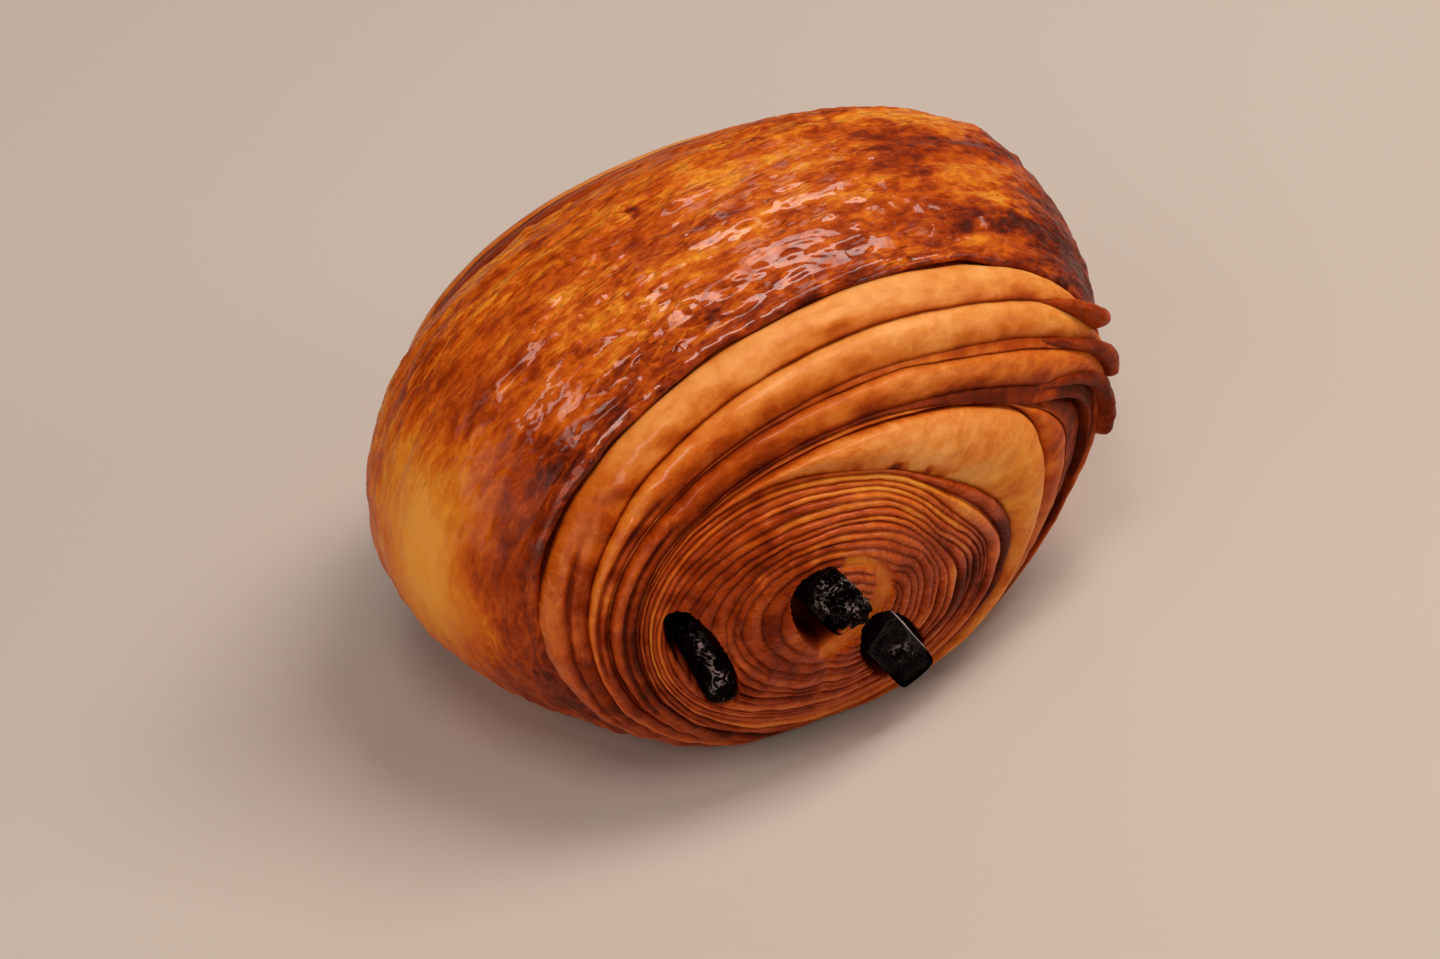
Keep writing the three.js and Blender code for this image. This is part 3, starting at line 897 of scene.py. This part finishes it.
columns = columns_round(SWIRL_COLUMNS, [(90, 135, 0.9), (-20, 50, 0.5)])
laminae = swirl_layers(SWIRL_SPANS, LAMINA_TOAST, WIDE_AT_RIGHT, 41)
swirl = layer_rows(FRONT, FRONT_LINES, laminae, columns, 500)
out = swirl["out"]
base = dome_point(FRONT, columns, out)
near_core = smooth((0.34 - out) / 0.1)
low_left = facing(columns, 222, 42) * smooth((out - 0.08) / 0.1)
blotchy = facing(columns, 163, 44) * smooth((out - 0.2) / 0.12) * smooth((0.74 - out) / 0.1)
blotchy = np.maximum(blotchy, 0.85 * low_left * smooth((0.56 - out) / 0.12))
fold_width = 0.0006 + 0.0007 * smooth((0.0275 - base[..., 2]) / 0.005)
off_fold = distance_to_path(base, CORE_FOLD) / fold_width
fold = smooth(1.6 - off_fold)
fold_height = np.sqrt(np.maximum(1 - (off_fold / 1.6) ** 2, 0))
pit = pressed(base) * (1 - fold)
creased = wobble(base, (0.0014, 0.003, 0.0034), 520)
torn = wobble(base, (0.0022, 0.001, 0.0022), 522)
blots = wobble(base, 0.0017, 524)
worn = (0.45 + 0.4 * low_left + 0.35 * facing(columns, 20, 60)) * blotchy
worn = np.clip(np.maximum(worn, 0.5 * near_core), 0, 0.9)
height = (swirl["height"] * (1 - worn) * (1 - fold) + 0.0001 * wobble(base, 0.006, 521)
          + 0.0001 * torn + 0.00045 * blotchy * creased - 0.005 * pit
          + (0.0012 * fold_height - 0.0014) * fold * (1 + 0.3 * wobble(base, 0.0016, 525)))
fading = ring_place(columns, 2.3 * np.ceil(swirl["way"]))
toast = (0.11 + swirl["toast"] + 0.09 * wobble(base, (0.006, 0.006, 0.004), 523)
         + 0.3 * blotchy * (1 - blotchy) * blots + 0.22 * wobble(fading, 0.42, 527) - 0.08 * torn)
toast += 0.34 * facing(columns, -34, 26) * smooth((out - 0.36) / 0.06)
toast -= 0.2 * facing(columns, 84, 34) * smooth((out - 0.2) / 0.1)
toast += 0.2 * facing(columns, 8, 42) * smooth((0.32 - out) / 0.06)
# Darker towards the bottom: painted shade under the roll.
toast += 0.04 * within(columns, 240, 80, 40)
toast += 0.7 * blotchy * (0.78 + 0.22 * blots + 0.16 * creased - toast)
toast += 0.5 * (0.52 - toast) * near_core
toast += (0.36 + 0.15 * wobble(base, 0.0016, 526) - toast) * fold
# Dark in the hollows round the sticks: painted shade.
toast += (1 - toast) * smooth(pit * 2.5)
sunk = sunk_rows(FRONT, columns, out[:1] + [[0.03], [0.01]], (0.005, 0.0022))
rows = np.concatenate([sunk, raised(FRONT, columns, swirl, height)])[::-1]
run = padded(swirl["run"], (2, 0)) + 0.04
make_piece("front_swirl", "dough", "dough", open_layers, placed(rows),
           placed([(CORE[0], -FRONT["tip"], CORE[1]), (0, -0.3 * FRONT["reach"], MIDDLE_HEIGHT)]),
           toast=np.clip(padded(toast, (2, 0.9)), 0, 1)[::-1],
           lines=padded(0.6 - 0.3 * fold - 0.2 * pit, (2, 1))[::-1],
           wash=padded(1 - 0.3 * pit, (2, 1))[::-1], grain=along_layers(columns, run)[::-1])


# Chocolate sticks
# Bars of dark baking chocolate as long as the roll. The oven softened them, so their ends broke
# and crinkled: the left one is folded, the middle one rough, the right one smooth with a sharp
# edge. Each is a rounded bar whose end faces are pressed in by dents and raised by wrinkles.
STICK_COLUMNS = 168
FACE_ROWS = 40
STICK_SHOULDER = 0.0006

# A spot of painted glints has its middle and half sizes on the end faces, and a dent its depth
# after them
# An edge of 1 paints a pale highlight along the top of the front face.
STICKS = [
    {"name": "chocolate_left", "x": -0.026, "z": 0.0204, "width": 0.0138, "thick": 0.0047,
     "turn": -66, "front": -0.0342, "back": 0.0286, "slant": -0.0016, "squareness": 3.4,
     "wrinkle": 0.0020, "size": (0.0046, 0.0018), "seed": 600, "top_stretch": 0.06, "edge": 0,
     "crinkles": [(0.0004, 0.0009, 0.0064, 0.0007), (0.0050, 0.0004, 0.0014, 0.0014)],
     "dents": [(-0.001, -0.0026, 0.0075, 0.0019, 0.0040),
               (0.0018, 0.0018, 0.0012, 0.0010, 0.0010)]},
    {"name": "chocolate_middle", "x": -0.0092, "z": 0.0245, "width": 0.0108, "thick": 0.0062,
     "turn": -57, "front": -0.04, "back": 0.0334, "slant": -0.0009, "squareness": 4.5,
     "wrinkle": 0.0028, "size": (0.0026, 0.0020), "seed": 620, "top_stretch": 0, "edge": 0,
     "crinkles": [(-0.0010, 0.0008, 0.0046, 0.0026)],
     "dents": [(0.0036, -0.0030, 0.0030, 0.0022, 0.0030)]},
    {"name": "chocolate_right", "x": 0.0004, "z": 0.0123, "width": 0.0137, "thick": 0.0058,
     "turn": -57, "front": -0.0402, "back": 0.0322, "slant": 0.001, "squareness": 9,
     "wrinkle": 0.0012, "size": (0.0036, 0.0030), "seed": 640, "top_stretch": 0.16, "edge": 1,
     "crinkles": [(0.0005, 0.0003, 0.0017, 0.0012)],
     "dents": [(-0.001, -0.0008, 0.0045, 0.0017, 0.0010),
               (0.0040, -0.0036, 0.0030, 0.0014, 0.0010)]},
]


def wrinkles(points, seed):
    """Sharp-crested wrinkles between 0 and 1: one less the size of a smooth random height, at
    three sizes, each half the last."""
    return sum(part * (1 - np.abs(wobble(points, 0.5 ** number, seed + number)) * 1.6)
               for number, part in enumerate([0.55, 0.3, 0.15]))


def stick_rows(stick):
    """Grid of one stick: rings that grow from the middle of the front face, run along the bar and
    shrink to the middle of the back face. A ring is a squarish oval, turned and moved. Gives two
    masks as well, for a pale painted highlight along its sharp edge and for spots of painted
    glints."""
    turn = np.linspace(0, 2 * np.pi, STICK_COLUMNS, endpoint=False)
    power = 2 / stick["squareness"]
    face = np.sin(np.linspace(0.02, 1, FACE_ROWS) * np.pi / 2)
    rounding = STICK_SHOULDER * (1 - np.maximum(1 - face ** 7, 0) ** (1 / 7))
    near = stick["front"] + STICK_SHOULDER + np.linspace(0.0003, 0.006, 14)
    far = stick["back"] - STICK_SHOULDER - np.linspace(0.004, 0.0003, 8)
    bar = np.concatenate([near, np.linspace(near[-1], far[0], 6)[1:-1], far])
    scale = np.concatenate([face, np.ones(len(bar)), face[::-1]])[:, None]
    ends = np.repeat([1.0, 0.0, -1.0], [FACE_ROWS, len(bar), FACE_ROWS])[:, None]
    a = scale * powered(np.cos(turn), power) * stick["width"] / 2
    b = scale * powered(np.sin(turn), power) * stick["thick"] / 2
    y = np.concatenate([stick["front"] + rounding, bar, (stick["back"] - rounding)[::-1]])[:, None]
    y = y + ends * stick["slant"] * a / (stick["width"] / 2)
    flat = packed(a / stick["size"][0], 9 * ends, b / stick["size"][1])
    rise = stick["wrinkle"] * (wrinkles(flat, stick["seed"]) - 0.75) * (1 - 0.7 * scale ** 5)
    for dent_a, dent_b, wide, thick, depth in stick["dents"]:
        rise = rise - depth * hump(a - dent_a, wide) * hump(b - dent_b, thick)
    y = y - ends * np.where(ends < 0, np.minimum(rise, 0), rise)
    swollen = 0.96 + 0.05 * wobble(packed(a, y, b), 0.003, stick["seed"] + 9)
    a = a * swollen * (1 + stick["top_stretch"] * smooth(b / stick["thick"] + 0.5))
    b = b * swollen
    # The edge mask is a pale painted highlight along the top of the front face.
    edge = (stick["edge"] * smooth((b / stick["thick"] - 0.45) / 0.03)
            * smooth((stick["front"] + 0.0014 - y) / 0.0006))
    crinkles = ends ** 2 * sum(hump(a - middle_a, wide) * hump(b - middle_b, thick)
                               for middle_a, middle_b, wide, thick in stick["crinkles"])
    across, up = turned(a, b, stick["turn"])
    return packed(stick["x"] + across, y, stick["z"] + up), edge, np.clip(crinkles, 0, 1)


def chocolate_material():
    """Dark chocolate: almost black brown, with a broken gloss and small folds, and a pale painted
    highlight on the crests of the folds at the spots of painted glints and along its sharp edge."""
    material, node = material_nodes("dark_chocolate")
    spot = node("ShaderNodeTexCoord").outputs["Object"]
    crinkles = mask(node, "crinkles")
    cloud = noise(node, spot, 420, 3, 0.6)
    folds = noise(node, spot, 600, 2.5, 0.55, 1)
    crest = ranged(node, off_middle(node, folds), 0.01, 0.05, 1.0, 0.0)
    patchy = calculated(node, "MULTIPLY_ADD", crinkles, 0.04, cloud)
    broken = calculated(node, "MULTIPLY", crest, ranged(node, patchy, 0.47, 0.6, 0.0, 1.0))
    # Pale painted highlight: glints on the fold crests at the painted spots, and a line on the
    # sharp edge.
    bloom = calculated(node, "MAXIMUM", mask(node, "edge"),
                       calculated(node, "MULTIPLY", broken, crinkles))
    dark = ramp(node, cloud, (0.35, 0.75), [(0.002, 0.0008, 0.0007), (0.007, 0.003, 0.0025)])
    shaded(node, Base_Color=blended(node, bloom, dark, (0.52, 0.42, 0.41, 1)),
           Roughness=ranged(node, cloud, 0.3, 0.7, 0.12, 0.26), Specular_IOR_Level=0.02,
           Normal=bumped(node, (0.8, 0.0005, folds), (0.5, 0.0003, crest)))
    return material


dark_chocolate = chocolate_material()
for stick in STICKS:
    rows, edge, crinkles = stick_rows(stick)
    make_piece(f"{stick['name']}_bar", stick["name"], "chocolate", dark_chocolate, placed(rows),
               placed(rows[[0, -1]].mean(1)), edge=edge, crinkles=crinkles)


# Open end at the back
# The hidden side of the roll, finished like the one that shows: two bands, and thin layers round
# the same three sticks. One closed piece made like the swirl.
BACK_COLUMNS = 460
BACK_LINES = {
    "edge": [1] * 8,
    "first": [0.92, 0.91, 0.9, 0.92, 0.94, 0.94, 0.94, 0.93],
    "second": [0.8, 0.76, 0.74, 0.79, 0.84, 0.86, 0.87, 0.84],
    "third": [0.64, 0.58, 0.57, 0.64, 0.71, 0.76, 0.77, 0.71],
    "inner": [0.42, 0.37, 0.38, 0.46, 0.54, 0.6, 0.6, 0.5],
    "core": [0] * 8,
}
BACK_BANDS = [
    layer("edge", "first", 1, 12, 0.0001, (0.0004, 0.0006), (0.0002, 0.0003, 0.0002),
          (0.45, 0.45, 0.1, 0.3), sink=0.0004),
    layer("first", "second", 0.82, 12, 0.0008, (0.0005, 0.0003), (0.0002, 0.0003, 0.0002),
          (0.12, 0.42, 0.45, 0.1)),
    layer("first", "second", 1, 7, 0.0002, (0.00015, 0.00025), (0.0004, 0.0005, 0.0004),
          (0.6, 0.56, 0.2, 0)),
    layer("second", "third", 1, 16, 0.0011, (0.0008, 0.0005), (0.0002, 0.0003, 0.0002),
          (0.16, 0.46, 0.6, 0.15)),
]
BACK_SPANS = [("third", "inner", 6), ("inner", "core", 7)]
BACK_TOAST = [0.6, 0.3, 0.44, 0.36, 0.48, 0.38, 0.5, 0.42, 0.52, 0.44, 0.46, 0.4, 0.36]
columns = columns_round(BACK_COLUMNS, [(90, 125, 0.9)])
back_layers = BACK_BANDS + swirl_layers(BACK_SPANS, BACK_TOAST, {}, 61)
layers = layer_rows(BACK, BACK_LINES, back_layers, columns, 700)
base = dome_point(BACK, columns, layers["out"])
pit = pressed(base)
height = layers["height"] + 0.00012 * wobble(base, 0.007, 721) - 0.003 * pit
# The pit term darkens the hollows round the sticks as painted shade.
toast = (layers["toast"] + 0.07 * wobble(base, (0.006, 0.004, 0.006), 722) + 0.3 * pit
         + 0.14 * within(columns, 250, 90, 60)
         + 0.36 * facing(columns, 138, 44) * smooth((2.2 - layers["way"]) / 0.8))
rows = np.concatenate([rim_rows(BACK, columns), raised(BACK, columns, layers, height)])
run = padded(layers["run"], (3, 0))
make_piece("back_end", "dough", "dough", open_layers, placed(rows),
           placed([(0, 0.3 * BACK["reach"], MIDDLE_HEIGHT), (CORE[0], BACK["tip"], CORE[1])]),
           # The rows under the lip are dark as painted shade in the groove there.
           toast=np.clip(padded(toast, (3, 0.9)), 0, 1), lines=0.9 * smooth(run / 0.012),
           wash=1 - 0.6 * smooth((run - 0.0015) / 0.002),
           grain=along_layers(columns, run + 0.1))


# Floor, lights and camera
# A pale floor; soft warm lights, which are a window above at the right and a skylight above at
# the left for the glaze, a window in front and one behind for the edges, and a wide weak fill at
# the left; and the camera at the photo's angle.
MIDDLE = Vector((0, 0, 0.028))
WARM = (1.0, 0.86, 0.77)

# Name, direction, distance, sizes and radiance of each light, whose power is its radiance times
# its area and pi
LIGHTS = [
    ("window", (0.46, -0.05, 0.9), 0.7, (0.22, 0.52), 9.2),
    ("front_window", (0.7, -0.62, 0.35), 0.8, (0.42, 0.3), 2.8),
    ("back_window", (0.5, 0.6, 0.6), 0.8, (0.12, 0.3), 2),
    ("skylight", (-0.32, -0.17, 0.93), 0.8, (0.17, 0.32), 8),
    ("fill", (-0.9, -0.3, 0.4), 0.9, (1.1, 0.9), 1.1),
]
FLOOR_HALF = 3
CAMERA_TARGET = Vector((-0.0114, -0.01258 + BOX_SHIFT, 0.025))
CAMERA_AZIMUTH = np.radians(-38.84)
CAMERA_ELEVATION = np.radians(37.64)
CAMERA_DISTANCE = 0.4999
CAMERA_LENS = 103.1
CAMERA_SENSOR = 36


def aim(thing, target, towards, distance):
    """Puts a light or camera at a distance from a target, faces it there and adds it."""
    direction = Vector(towards).normalized()
    thing.location = target + direction * distance
    thing.rotation_mode = "QUATERNION"
    thing.rotation_quaternion = (-direction).to_track_quat("-Z", "Y")
    bpy.context.scene.collection.objects.link(thing)


for name, towards, distance, size, radiance in LIGHTS:
    data = bpy.data.lights.new(name, "AREA")
    data.shape = "RECTANGLE"
    data.size, data.size_y = size
    data.energy = radiance * size[0] * size[1] * np.pi
    data.color = WARM
    aim(bpy.data.objects.new(name, data), MIDDLE, towards, distance)

world = bpy.data.worlds.new("room")
world.use_nodes = True
background = world.node_tree.nodes["Background"].inputs
background["Color"].default_value = (1.0, 0.88, 0.8, 1)
background["Strength"].default_value = 0.1
bpy.context.scene.world = world

floor_mesh = bpy.data.meshes.new("floor")
floor_mesh.from_pydata([(x * FLOOR_HALF, y * FLOOR_HALF, 0)
                        for x, y in ((-1, -1), (1, -1), (1, 1), (-1, 1))], [], [range(4)])
floor = bpy.data.objects.new("floor", floor_mesh)
floor_material, node = material_nodes("pale_floor")
shaded(node, Base_Color=(0.6, 0.55, 0.5, 1), Roughness=0.7)
floor_mesh.materials.append(floor_material)
bpy.context.scene.collection.objects.link(floor)
floor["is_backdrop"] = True

camera_data = bpy.data.cameras.new("camera")
camera_data.sensor_width = CAMERA_SENSOR
camera_data.lens = CAMERA_LENS
camera_data.clip_start = 0.01
camera = bpy.data.objects.new("camera", camera_data)
aim(camera, CAMERA_TARGET,
    (np.sin(CAMERA_AZIMUTH) * np.cos(CAMERA_ELEVATION),
     -np.cos(CAMERA_AZIMUTH) * np.cos(CAMERA_ELEVATION), np.sin(CAMERA_ELEVATION)),
    CAMERA_DISTANCE)
bpy.context.scene.camera = camera
bpy.context.scene.view_settings.view_transform = "Standard"

shown_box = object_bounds()
